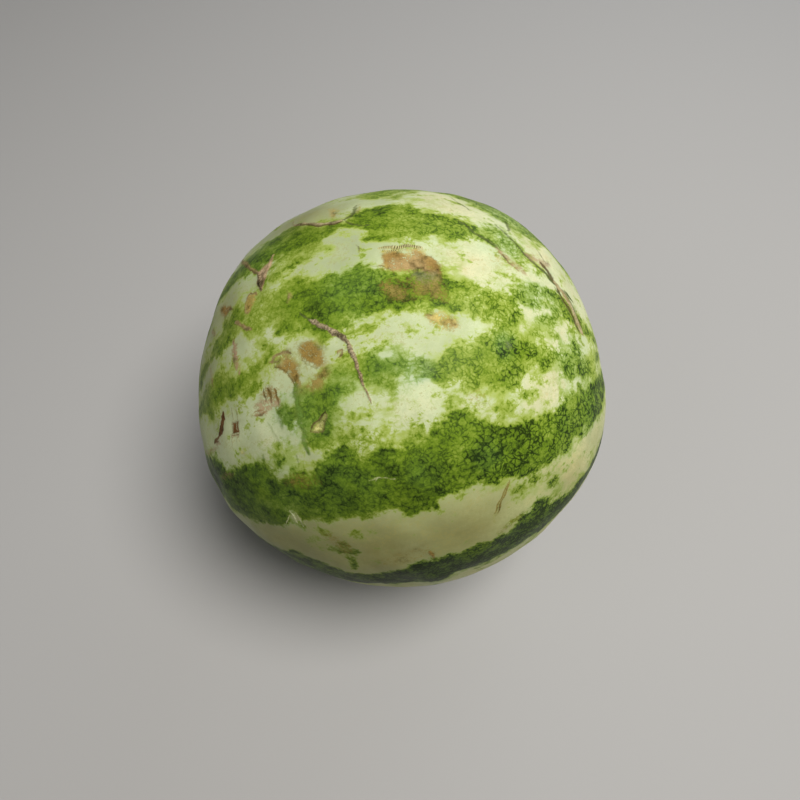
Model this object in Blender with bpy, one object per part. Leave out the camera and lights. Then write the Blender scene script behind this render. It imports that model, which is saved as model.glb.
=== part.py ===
"""A whole round watermelon lying on its side: one solid, as the fruit grew.

Metres, +Z up, origin at the bottom centre of the fruit's box, on the surface that it rests on.
The fruit's own axis runs from the blossom end, at -X, to the stem end, at +X, and the stem end is lifted.
A place on the skin is given by two angles, in degrees:
    along   0 at the blossom end, 90 at the girth, 180 at the stem end
    around  0 at the top, positive towards +Y, 180 underneath
"""

import math

import bmesh
import bpy
import numpy as np
from mathutils import Matrix, Vector

# Driving dimensions.
GIRTH_RADIUS = 0.102  # middle of the fruit, square to its axis
LENGTH_RATIO = 0.98  # half length over girth radius, before the shoulders swell
HEIGHT_RATIO = 0.97  # a fruit flattens a little as it grows on the ground
AXIS_TILT = 9.0  # how far the stem end is lifted, degrees
REST_SPOT_DEPTH = 0.0014  # how much the lowest skin is worn flat, which gives a spot about 34 mm across

# Broad swellings that make the fruit blocky: along, around, spread, and height as a share of the radius.
SHOULDERS = {
    "blossom_near": (28, -67, 30, 0.064),
    "blossom_far": (52, 35, 30, 0.044),
    "stem_near": (150, -85, 26, 0.046),
    "stem_far": (138, 38, 30, 0.032),
    "blossom_under": (48, 150, 32, 0.030),
    "stem_under": (140, 158, 32, 0.026),
}

# The two ends: a shallow dimple, and the corky scar that stands up a little in it.
# Reaches are radii on the skin and heights are along the fruit's axis, all in metres.
BLOSSOM_END = {"dimple_reach": 0.020, "dimple_depth": 0.0022, "scar_reach": 0.0062, "scar_height": 0.0008}
STEM_END = {"dimple_reach": 0.024, "dimple_depth": 0.0046, "scar_reach": 0.0052, "scar_height": 0.0013}
SCAR_EDGE = 0.0012  # width of the scar's sloping rim
SCAR_HOLLOW = 0.5  # share of the stem scar's height that its middle sinks back

# The mesh is rings square to the axis, each of the same segments, all in degrees.
# Each fine place is where they come closer together: its angle, its reach and the spacing there.
RING_SPACING = 4.4
RING_FINE_PLACES = ((0, 8, 0.9), (81, 10, 2.0), (180, 8, 0.9))  # the two ends, and above the rest spot
SEGMENT_SPACING = 5.0
SEGMENT_FINE_PLACES = ((180, 14, 2.0),)  # underneath, for the rest spot

RIND_COLOUR = (0.17, 0.27, 0.07, 1.0)  # the stripes and the pale skin between them, averaged
RIND_ROUGHNESS = 0.42


def direction(along, around):
    """Unit vector in the fruit's frame, +X at the stem end and +Z at the top."""
    a, b = math.radians(along), math.radians(around)
    return Vector((-math.cos(a), math.sin(a) * math.sin(b), math.sin(a) * math.cos(b)))


def smooth_step(value, low, high):
    share = min(1.0, max(0.0, (value - low) / (high - low)))
    return share * share * (3 - 2 * share)


def swelling(towards):
    """How much the shoulders enlarge the fruit in this direction."""
    share = 0.0
    for along, around, spread, height in SHOULDERS.values():
        apart = math.degrees(towards.angle(direction(along, around)))
        share += height * math.exp(-((apart / spread) ** 2))
    return 1.0 + share


def end_relief(end, reach):
    """Height of the skin at one end over the plain fruit, at a distance reach from the pole."""
    dimple = -end["dimple_depth"] * math.exp(-((reach / (0.6 * end["dimple_reach"])) ** 2))
    inner = end["scar_reach"] - SCAR_EDGE
    scar = end["scar_height"] * (1 - smooth_step(reach, inner, end["scar_reach"]))
    hollow = 0.0
    if end is STEM_END:
        hollow = -SCAR_HOLLOW * end["scar_height"] * (1 - smooth_step(reach, 0.0, inner))
    return dimple + scar + hollow


def skin_point(along, around):
    """A point of the skin in the fruit's frame, about the middle of its axis."""
    towards = direction(along, around)
    semi_axes = (GIRTH_RADIUS * LENGTH_RATIO, GIRTH_RADIUS, GIRTH_RADIUS * HEIGHT_RATIO)
    radius = 1 / math.sqrt(sum((t / s) ** 2 for t, s in zip(towards, semi_axes)))
    radius *= swelling(towards)
    from_blossom = radius * math.radians(along)
    from_stem = radius * math.radians(180 - along)
    point = towards * radius
    point.x -= end_relief(BLOSSOM_END, from_blossom)
    point.x += end_relief(STEM_END, from_stem)
    return point


def spaced_angles(last, spacing, fine_places):
    """Angles from 0 to last, spacing apart, and closer together about each fine place."""
    fine = np.linspace(0, last, 4000)
    density = np.full(len(fine), 1 / spacing)
    for centre, reach, finest in fine_places:
        density += (1 / finest - 1 / spacing) * np.exp(-(((fine - centre) / reach) ** 2))
    count = np.concatenate(([0], np.cumsum((density[1:] + density[:-1]) / 2 * np.diff(fine))))
    even = np.linspace(0, count[-1], round(count[-1]) + 1)
    return [float(angle) for angle in np.interp(even, count, fine)]


def skin_mesh():
    """The closed skin in the fruit's frame, as a bmesh of rings closed by a fan at each end."""
    bm = bmesh.new()
    alongs = spaced_angles(180, RING_SPACING, RING_FINE_PLACES)[1:-1]
    arounds = spaced_angles(360, SEGMENT_SPACING, SEGMENT_FINE_PLACES)[:-1]
    rings = [[bm.verts.new(skin_point(along, around)) for around in arounds] for along in alongs]
    for ring, following in zip(rings, rings[1:]):
        for k in range(len(ring)):
            before = k - 1
            bm.faces.new((ring[before], following[before], following[k], ring[k]))
    for ring, along in ((rings[0], 0.0), (rings[-1], 180.0)):
        pole = bm.verts.new(skin_point(along, 0.0))
        for k in range(len(ring)):
            bm.faces.new((ring[k - 1], ring[k], pole))
    return bm


def rest_on_flat_spot(bm):
    """Cuts off the lowest skin level with the surface, closes the cut with one flat face, and centres the fruit."""
    lowest = min(v.co.z for v in bm.verts)
    rest = Vector((0, 0, lowest + REST_SPOT_DEPTH))
    everything = bm.verts[:] + bm.edges[:] + bm.faces[:]
    bmesh.ops.bisect_plane(bm, geom=everything, plane_co=rest, plane_no=(0, 0, -1), clear_outer=True)
    rim = [edge for edge in bm.edges if edge.is_boundary]
    bmesh.ops.contextual_create(bm, geom=rim)
    xs = [v.co.x for v in bm.verts]
    ys = [v.co.y for v in bm.verts]
    middle = Vector(((min(xs) + max(xs)) / 2, (min(ys) + max(ys)) / 2, rest.z))
    bmesh.ops.translate(bm, verts=bm.verts, vec=-middle)
    for v in bm.verts:
        if abs(v.co.z) < REST_SPOT_DEPTH / 1000:
            v.co.z = 0.0


def rind_material():
    material = bpy.data.materials.new("rind")
    material.use_nodes = True
    shader = material.node_tree.nodes["Principled BSDF"]
    shader.inputs["Base Color"].default_value = RIND_COLOUR
    shader.inputs["Roughness"].default_value = RIND_ROUGHNESS
    shader.inputs["Metallic"].default_value = 0.0
    material.diffuse_color = RIND_COLOUR
    return material


def make_watermelon():
    bm = skin_mesh()
    tilt = Matrix.Rotation(-math.radians(AXIS_TILT), 4, "Y")
    bmesh.ops.transform(bm, matrix=tilt, verts=bm.verts)
    rest_on_flat_spot(bm)
    bmesh.ops.recalc_face_normals(bm, faces=bm.faces)
    mesh = bpy.data.meshes.new("watermelon")
    bm.to_mesh(mesh)
    bm.free()
    mesh.shade_smooth()
    mesh.materials.append(rind_material())
    fruit = bpy.data.objects.new("watermelon", mesh)
    bpy.context.scene.collection.objects.link(fruit)
    return fruit


def clear_scene():
    for obj in list(bpy.data.objects):
        bpy.data.objects.remove(obj)


clear_scene()
make_watermelon()
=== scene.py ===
"""The looks of the watermelon: a skin with stripes, net, stains and corky scars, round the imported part.

The skin is one closed mesh on the same formula as the CAD solid. Two angles, in degrees, give a place on it:
    along   0 at the blossom end, 90 at the girth, 180 at the stem end
    around  0 at the top, positive towards +Y, negative towards -Y and the camera, 180 underneath
"""

import math
from typing import NamedTuple

import bmesh
import bpy
import numpy as np
from mathutils import Matrix, Vector


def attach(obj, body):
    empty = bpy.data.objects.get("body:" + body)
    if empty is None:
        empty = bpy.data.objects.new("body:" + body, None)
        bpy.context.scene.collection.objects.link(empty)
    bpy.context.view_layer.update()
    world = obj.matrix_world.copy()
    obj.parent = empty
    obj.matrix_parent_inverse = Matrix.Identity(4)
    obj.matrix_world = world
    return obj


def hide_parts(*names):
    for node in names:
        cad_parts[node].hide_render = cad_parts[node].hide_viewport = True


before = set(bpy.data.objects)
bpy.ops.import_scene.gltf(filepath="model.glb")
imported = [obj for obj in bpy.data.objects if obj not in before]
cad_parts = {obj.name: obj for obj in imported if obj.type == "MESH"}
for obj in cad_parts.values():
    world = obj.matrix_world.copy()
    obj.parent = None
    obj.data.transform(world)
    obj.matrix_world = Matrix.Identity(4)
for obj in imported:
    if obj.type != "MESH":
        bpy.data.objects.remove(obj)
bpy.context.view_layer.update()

# ---------------------------------------------------------------- the fruit's form, as in the CAD
GIRTH_RADIUS = 0.102
LENGTH_RATIO = 0.98
HEIGHT_RATIO = 0.97
AXIS_TILT = 9.0
REST_SPOT_DEPTH = 0.0014
# Broad rises that make the fruit blocky: along, around, spread in degrees, and height in radii.
SHOULDERS = (
    (28, -67, 30, 0.064),
    (52, 35, 30, 0.044),
    (150, -85, 26, 0.046),
    (138, 38, 30, 0.032),
    (48, 150, 32, 0.030),
    (140, 158, 32, 0.026),
)
BLOSSOM_END = {"dimple_reach": 0.020, "dimple_depth": 0.0022, "scar_reach": 0.0062, "scar_height": 0.0008}
STEM_END = {"dimple_reach": 0.024, "dimple_depth": 0.0046, "scar_reach": 0.0052, "scar_height": 0.0013}
DIMPLE_SPREAD = 0.6  # of the dimple's reach
SCAR_EDGE = 0.0012
SCAR_HOLLOW = 0.5  # of the stem scar's height

TILT = np.array(Matrix.Rotation(-math.radians(AXIS_TILT), 3, "Y"))
PROBE_LEVEL = 6  # subdivisions of the sphere that measures the form


def half_turn(angle):
    """Angles in degrees, brought to between -180 and 180."""
    return (angle + 180) % 360 - 180


def angles(towards):
    """The two angles of unit vectors in the fruit's frame, where the stem end is at +X and the top at +Z."""
    along = np.degrees(np.arccos(np.clip(-towards[:, 0], -1, 1)))
    around = np.degrees(np.arctan2(towards[:, 1], towards[:, 2]))
    return along, around


def apart_from(towards, along, around):
    """Degrees of arc from a place to unit vectors."""
    a, b = np.radians((along, around))
    place = np.array([-np.cos(a), np.sin(a) * np.sin(b), np.sin(a) * np.cos(b)])
    return np.degrees(np.arccos(np.clip(towards @ place, -1, 1)))


def smooth_step(value, low, high):
    share = np.clip((value - low) / (high - low), 0, 1)
    return share * share * (3 - 2 * share)


def plain_radius(towards):
    """Distance from the fruit's middle to its skin, without the two ends' relief."""
    semi_axes = np.array([GIRTH_RADIUS * LENGTH_RATIO, GIRTH_RADIUS, GIRTH_RADIUS * HEIGHT_RATIO])
    radius = 1 / np.sqrt(((towards / semi_axes) ** 2).sum(-1))
    share = np.ones(radius.shape)
    for along, around, spread, height in SHOULDERS:
        share += height * np.exp(-((apart_from(towards, along, around) / spread) ** 2))
    return radius * share


def end_relief(end, reach):
    """How far an end's dimple and scar bring the skin out, at a distance from the end's middle."""
    dimple = -end["dimple_depth"] * np.exp(-((reach / (DIMPLE_SPREAD * end["dimple_reach"])) ** 2))
    inner = end["scar_reach"] - SCAR_EDGE
    scar = end["scar_height"] * (1 - smooth_step(reach, inner, end["scar_reach"]))
    if end is STEM_END:
        scar -= SCAR_HOLLOW * end["scar_height"] * (1 - smooth_step(reach, 0.0, inner))
    return dimple + scar


def skin_points(towards):
    """Points of the CAD's skin in the fruit's frame."""
    radius = plain_radius(towards)
    along, _ = angles(towards)
    points = towards * radius[:, None]
    points[:, 0] -= end_relief(BLOSSOM_END, radius * np.radians(along))
    points[:, 0] += end_relief(STEM_END, radius * np.radians(180 - along))
    return points


def icosphere(level):
    bm = bmesh.new()
    bmesh.ops.create_icosphere(bm, subdivisions=level, radius=1.0)
    return bm


def unit_vectors(bm):
    towards = np.array([v.co for v in bm.verts])
    return towards / np.linalg.norm(towards, axis=1)[:, None]


def find_origin():
    """The part's origin in the tilted fruit's frame: midway across the fruit, at the rest spot's height."""
    bm = icosphere(PROBE_LEVEL)
    tilted = skin_points(unit_vectors(bm)) @ TILT.T
    bm.free()
    low, high = tilted.min(0), tilted.max(0)
    return np.array([(low[0] + high[0]) / 2, (low[1] + high[1]) / 2, low[2] + REST_SPOT_DEPTH])


ORIGIN = find_origin()


def to_part(points):
    """From the fruit's frame to the part's."""
    return points @ TILT.T - ORIGIN


# ---------------------------------------------------------------- the markings, as places, outlines and lines
# The green stripes that branch or end: shade, from 0 for lime to 1 for bottle green, and outline.
STRIPES = {
    "near": (0.92, [
        (4, -78), (30, -84), (45, -81), (57, -75.6), (61, -77.4), (65, -79), (75, -80.6), (80, -79),
        (85, -76.4), (92, -75), (100.6, -75), (103.3, -73.5), (110, -74.8), (112, -73.4), (118.5, -71),
        (121.7, -68.8), (126.3, -72.8), (125.6, -75), (132.2, -79), (141, -77.5), (158, -80), (176, -84),
        (176, -96), (155, -91), (131, -87.4), (120, -88), (107, -87.8), (98, -85.8), (94.6, -88.8),
        (85, -89.6), (75, -91), (45, -93), (30, -92), (4, -90),
    ]),
    "broad": (0.75, [
        (4, -46), (20, -50), (37, -42), (42, -46.5), (45, -46.5), (49, -42.5), (55.5, -42.2), (56.7, -40.2),
        (60.3, -46.5), (65, -44), (71, -43.8), (72, -41.3), (78, -38.8), (83, -42.3), (85, -40.8),
        (95, -40.8), (103.3, -36), (107.5, -37.3), (109, -39.5), (118.5, -42.2), (127, -42), (131, -43.2),
        (134.6, -39.8), (141, -38.8), (144.8, -44), (147, -41.3), (155, -39.2), (176, -48), (176, -62),
        (160, -56), (147, -57.8), (139.7, -55), (137.8, -57.8), (135, -56.6), (132.8, -58.3), (122, -56),
        (119.5, -58.5), (115.5, -55.8), (106, -53.3), (98.3, -55), (95.6, -57.8), (93.3, -56), (90, -57.6),
        (85, -55.5), (78.9, -57.8), (75.5, -56.8), (73.5, -58.3), (63.5, -59.4), (61.3, -56.5), (60, -60.2),
        (56, -63.3), (51.7, -63.5), (44, -67.5), (30, -66), (20, -62), (4, -60),
    ]),
    "forked": (0.5, [
        (63.3, -29), (65, -26.5), (67.5, -27.5), (70, -25.5), (78, -22.5), (85, -20), (93.3, -21.7),
        (101.7, -23.3), (108.3, -20.6), (115, -17.6), (118.6, -12), (122.5, -12), (123.5, -17), (126, -22),
        (134, -24.6), (143.3, -25.4), (145, -27), (152, -28.6), (176, -26), (176, -38), (152.2, -33),
        (145, -36.2), (136.8, -35.2), (136, -32.2), (131, -28.4), (123.9, -30), (118.9, -34), (114.5, -33.6),
        (110, -31), (102.3, -28.9), (101, -26.3), (93.5, -26), (91.8, -28.4), (85, -25), (83, -26.2),
        (79.6, -27.4), (79, -32), (76, -36), (72, -39), (70.5, -38.5), (68.5, -31), (66.5, -33),
    ]),
    "stub": (0.53, [
        (4, -20), (24, -20), (34, -12.8), (42.8, -11.7), (49.4, -13.9), (52, -16), (58.9, -14.4),
        (62.2, -10.6), (64.4, -14), (60, -18.3), (58.3, -22.2), (53.9, -23.9), (50.6, -21.7), (44, -22.5),
        (38.3, -27.2), (32.8, -23), (24, -26), (4, -34),
    ]),
    "wide": (0.6, [
        (4, 2), (30, -4), (38, -2), (50.5, 5.5), (66, 6), (73.5, 5), (76, 2.3), (84, 1), (88.3, 2.8),
        (90.6, 0.5), (96, -1.2), (106, -1.9), (110, -4), (115, -6.6), (120, -8.4), (124, -7.6), (127.5, -3.6),
        (131, -3.6), (141, -1.7), (146, -8), (158, -14), (176, -12), (176, -24), (158, -21), (149, -17),
        (143.5, -13.5), (138.3, -11.4), (132.2, -10.4), (126, -11), (122, -15), (116, -15.3), (107, -12.2),
        (90, -11), (85, -10.7), (77.5, -14.6), (75, -10.8), (67, -8.5), (65, -5.5), (59, -5.2), (55, -3.5),
        (50, -5), (42, -5), (30, -9), (4, -10),
    ]),
    "bridge": (0.34, [
        (65, 5), (66, 12), (67.5, 15.5), (75, 16), (80, 15), (79, 11.5), (70, 10.5), (68.5, 7.5), (70, 4),
    ]),
    "upper": (0.67, [
        (4, 26), (35, 20), (50.5, 27), (70.6, 28.2), (75, 25), (80.6, 21.1), (84.4, 19.8), (90, 22.5),
        (92.2, 24.7), (101.7, 23.9), (105, 20), (114.4, 17.8), (118.5, 16.5), (121, 17), (124, 19),
        (127, 15.5), (132.5, 8), (137.5, 3.6), (133, 5.4), (130.5, 5.6), (128, 3.6), (124.5, 7), (118.3, 11),
        (110, 9.4), (106, 11), (104.4, 8.3), (100, 7.8), (90.6, 10), (90, 14.4), (85, 17.2), (79, 14.4),
        (66, 14.6), (61.7, 14.4), (57, 17), (48, 19), (42, 18), (35, 12), (4, 14),
    ]),
    "far": (0.48, [
        (4, 40), (30, 40), (60, 44), (86, 44), (92, 40), (95, 33), (100, 41), (102, 35), (107, 41),
        (116, 36.5), (119.5, 30.5), (125, 28.3), (129.4, 23.9), (135, 22.2), (140, 27), (150, 24), (158, 22),
        (176, 22), (176, 36), (150, 46), (118, 57), (80, 56), (40, 54), (4, 48),
    ]),
}
# The stripes out of the photo's sight, from end to end: around of the centre, half width, and shade.
UNSEEN_STRIPES = (
    (75, 7.5, 0.62), (101, 9.0, 0.7), (127, 7.0, 0.66), (152, 8.5, 0.62), (179, 6.5, 0.55), (-153, 8.0, 0.66),
    (-128, 7.0, 0.72), (-106, 6.0, 0.78),
)
# Seeded waves that make those stripes wander: period and height in degrees.
CENTRE_WAVES = ((95, 2.2), (41, 1.3), (19, 0.7))
EDGE_WAVES = ((60, 1.2), (27, 1.1), (13, 1.0), (7, 0.9), (4.3, 0.6))
CENTRE_SEED = 10
EDGE_SEEDS = (40, 70)

# Small green flecks and tongues beside the stripes: along, around, half length, half width.
FLECKS = (
    (69.5, -62, 2.2, 1.3), (76.3, -62, 1.6, 1.1), (72.6, -66.5, 1.1, 1.9), (70, -69, 1.2, 0.9),
    (74.2, -69.3, 1.2, 0.9), (63, -60.5, 1.0, 2.0), (116, -60.5, 1.0, 1.5), (120.3, -61.5, 1.1, 1.4),
    (126.2, -66, 1.3, 1.6), (113.5, -70.4, 1.0, 0.8), (117, -36.5, 0.9, 0.9), (123, -35, 1.6, 0.7),
    (104, -31.5, 1.2, 0.7), (134, -14.5, 3.0, 0.7), (143, -22.5, 1.6, 0.9), (131, -19, 2.0, 0.7),
    (62, -39.5, 1.1, 1.3), (92.5, 37.5, 2.0, 1.6), (97.5, 31.5, 2.4, 0.9), (73, -74, 0.7, 1.6),
    (128.5, -24.5, 1.6, 0.8), (83, -33, 1.3, 0.8), (88.5, -36, 0.9, 1.6), (77.5, -36.5, 1.6, 0.9),
    (90, -39.3, 3.4, 0.7),
)
FLECK_SHADE = 0.52
DEPTH_LIMIT = 8  # degrees of arc into or away from the green, beyond which nothing changes

# Fields that take a value of their own near a place: along, around, reach, value.
# The first place darkens the near stripe low down, towards the floor, and (38, -53) darkens the broad
# stripe's blossom end, where the light falls off: both painted shade.
SHADE_PLACES = (
    (88, -82, 18, 1.03), (131, 9, 6, 0.34), (130, -17, 5, 0.24), (111, 13, 6, 0.57), (133, -27, 5, 0.34),
    (62, 1, 9, 0.35), (46, -17, 6, 0.54), (57, -19, 4, 0.52), (38, -53, 13, 0.86), (60.5, -13, 2.6, 0.62),
    (105, -42, 7, 0.56), (95, -47.5, 4, 0.76), (108, -47.5, 4.5, 0.74), (84, -47.5, 4.5, 0.76),
    (66, -48, 6, 0.82), (94, -53, 5, 0.86), (92, -56, 3, 0.82), (119, -56, 4, 0.8), (132, -50, 12, 0.62),
    (67, -30, 4.5, 0.64), (73, -31, 4.5, 0.67), (78, -27, 3, 0.62), (88, -23, 4, 0.6), (119, -22, 2.5, 0.7),
    (115, -12, 7, 0.38), (112, -26, 7, 0.5), (132, -7, 8, 0.37), (145, -31, 7, 0.56), (87, -6, 7, 0.62),
    (97, -10, 6, 0.74), (124, 13, 7, 0.36), (100, 14, 8, 0.42), (60, 23, 11, 0.64), (80, 19, 5, 0.62),
    (150, -17, 8, 0.48), (124, -58, 4, 0.72), (75, -53, 6, 0.8), (128, 32, 7, 0.38),
)
# Bluish green is the rind's own colour in most of these places; at (98, -25) and (119, -22) it is a painted
# bluish sheen, where the light is reflected.
BLUISH_AND_SHEEN_PLACES = (
    (67, -30, 7, 0.75), (74, -31, 5, 0.75), (80, -26, 5, 0.6), (92, -24, 6, 0.6), (98, -25, 3.5, 0.9),
    (119, -22, 3, 0.9), (86, -4, 8, 0.55), (140, -28, 7, 0.5), (132, -7, 7, 0.5), (60, 23, 10, 0.5),
    (124, 13, 7, 0.55), (40, -56, 15, 0.4), (95, -47.5, 4, 0.55), (110, -47.5, 4, 0.5), (140, -50, 12, 0.4),
    (58, -52, 12, 0.5), (76, -50, 9, 0.4), (90, -82, 12, 0.35), (120, -78, 10, 0.3), (128, 32, 8, 0.5),
)
# Painted shade: where the skin is darkened because the light falls off there, low on the near side, on the
# far edge of the top and towards the blossom end.
PAINTED_SHADE_PLACES = (
    (55, -71, 20, 0.84), (80, -70, 19, 0.95), (102, -69, 15, 0.82), (128, -76, 13, 0.34), (146, -70, 8, 0.3),
    (72, -65, 4, 0.85), (40, -38, 7, 0.15), (74, 30, 11, 0.72), (48, 10, 8, 0.45), (38, -5, 8, 0.4),
)
CREAM_PLACES = (
    (128, -34, 7, 1.0), (114, 1, 8, 0.95), (110, 27, 10, 1.0), (137, -18, 8, 1.0), (134, 15, 7, 1.0),
    (93, -33, 8, 0.66), (57, -36, 9, 0.75), (62, -10, 6, 0.58), (85, 8, 8, 0.18), (104, -17, 8, 0.42),
    (70, 33, 9, 0.05), (57, 13, 5, 0.35), (92, -65, 12, 0.4), (145, -66, 14, 0.85), (140, 2, 5, 0.8),
    (46, -38, 7, 0.6), (75, -16, 5, 0.45),
)
GOLDEN_PLACES = (
    (60, -70, 16, 0.35), (82, -67, 16, 0.5), (103, -66, 14, 0.7), (120, -64, 12, 0.8), (134, -66, 10, 0.8),
    (146, -66, 9, 0.55), (80, -98, 14, 1.0), (105, -98, 14, 1.0), (130, -96, 14, 1.0), (60, -98, 12, 0.8),
    (81, 180, 36, 1.0),
)
MOTTLE_PLACES = (
    (84, -38, 3.4, 0.6), (76, -36, 3.6, 0.7), (129, -17, 6, -0.35), (138, -18, 7, 0.0), (57, -34, 8, 0.26),
    (143, -22, 5, 0.5), (112, 4, 8, -0.3), (100, -20, 6, 0.0), (73, 12, 4, 0.7), (110, -33, 3.5, 0.45),
    (89, -15, 5, 0.8), (96, -14, 5, 0.62), (141, -41, 4, 0.6), (150, -38, 6, 0.6), (95, 37, 5, 0.5),
    (128, 25, 4, 0.3), (66, -24, 4, 0.35), (62, 10, 4, 0.3), (103, -36, 3, 0.35), (76, 2, 3, 0.45),
    (92, -39, 5, 0.45), (122, -3, 5, 0.45), (67, -10, 4, 0.5), (124, -29, 5, 0.3),
)
CONTRAST_PLACES = (
    (143, -30, 7, 1.6), (45, -54, 16, 0.4), (62, 2, 9, 0.5), (132, -8, 9, 1.55), (123, 13, 8, 1.4),
    (66, 22, 9, 0.5), (100, -5, 9, 0.9),
)
# The yellow spot where the fruit lay, in degrees.
GROUND_SPOT = (81, 180)
GROUND_REACH = 21.0
GROUND_FADE = 9.0
GROUND_WAVES = ((47, 1.5), (23, 1.0))
GROUND_SEED = 5


class MarkKind(NamedTuple):
    """The looks of one kind of mark."""

    colour: tuple
    height: float  # metres that it stands up from the skin
    cork: float  # 1 for cork, which is rough and beaded
    soft: float  # how softly a line fades to its sides
    grain: float = 0.0  # how much of the skin shows through it


MARK_KINDS = {
    "cork": MarkKind((0.345, 0.285, 0.175), 0.00050, 1.0, 0.35),
    "brown_cork": MarkKind((0.265, 0.205, 0.115), 0.00040, 1.0, 0.35),
    "pink_cork": MarkKind((0.42, 0.315, 0.185), 0.00022, 0.7, 0.5),
    "grey_cork": MarkKind((0.33, 0.285, 0.155), 0.00035, 0.7, 0.4),
    "crack": MarkKind((0.085, 0.115, 0.035), -0.00015, 0.45, 0.7),
    "dark_edge": MarkKind((0.085, 0.07, 0.022), -0.00012, 0.45, 0.5),
    "ochre_score": MarkKind((0.2, 0.148, 0.034), -0.00010, 0.3, 0.5),
    "stitch": MarkKind((0.44, 0.42, 0.2), 0.00012, 0.6, 0.6),
    "scratch": MarkKind((0.27, 0.215, 0.095), 0.00008, 0.5, 0.5),
    "pink_streak": MarkKind((0.35, 0.245, 0.15), 0.00006, 0.3, 0.9, 0.6),
    "red_streak": MarkKind((0.125, 0.062, 0.02), -0.00012, 0.4, 0.35),
    "orange_stain": MarkKind((0.25, 0.16, 0.04), 0.00006, 0.35, 0.8, 0.5),
    "ochre_stain": MarkKind((0.45, 0.38, 0.11), 0.00003, 0.2, 0.8, 1.0),
    "brown_stain": MarkKind((0.345, 0.246, 0.104), 0.00005, 0.15, 0.8, 0.8),
    "olive_stain": MarkKind((0.235, 0.192, 0.05), 0.0, 0.1, 0.8, 0.8),
    "olive_haze": MarkKind((0.31, 0.345, 0.115), 0.0, 0.0, 0.9),
    "smudge": MarkKind((0.15, 0.2, 0.11), 0.0, 0.0, 0.8),
    "green_drip": MarkKind((0.115, 0.205, 0.034), 0.0, 0.0, 0.9),
    "feather": MarkKind((0.5, 0.56, 0.33), 0.00003, 0.0, 0.8),
    "pale_rim": MarkKind((0.52, 0.53, 0.2), 0.00012, 0.5, 0.5),
}
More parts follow.
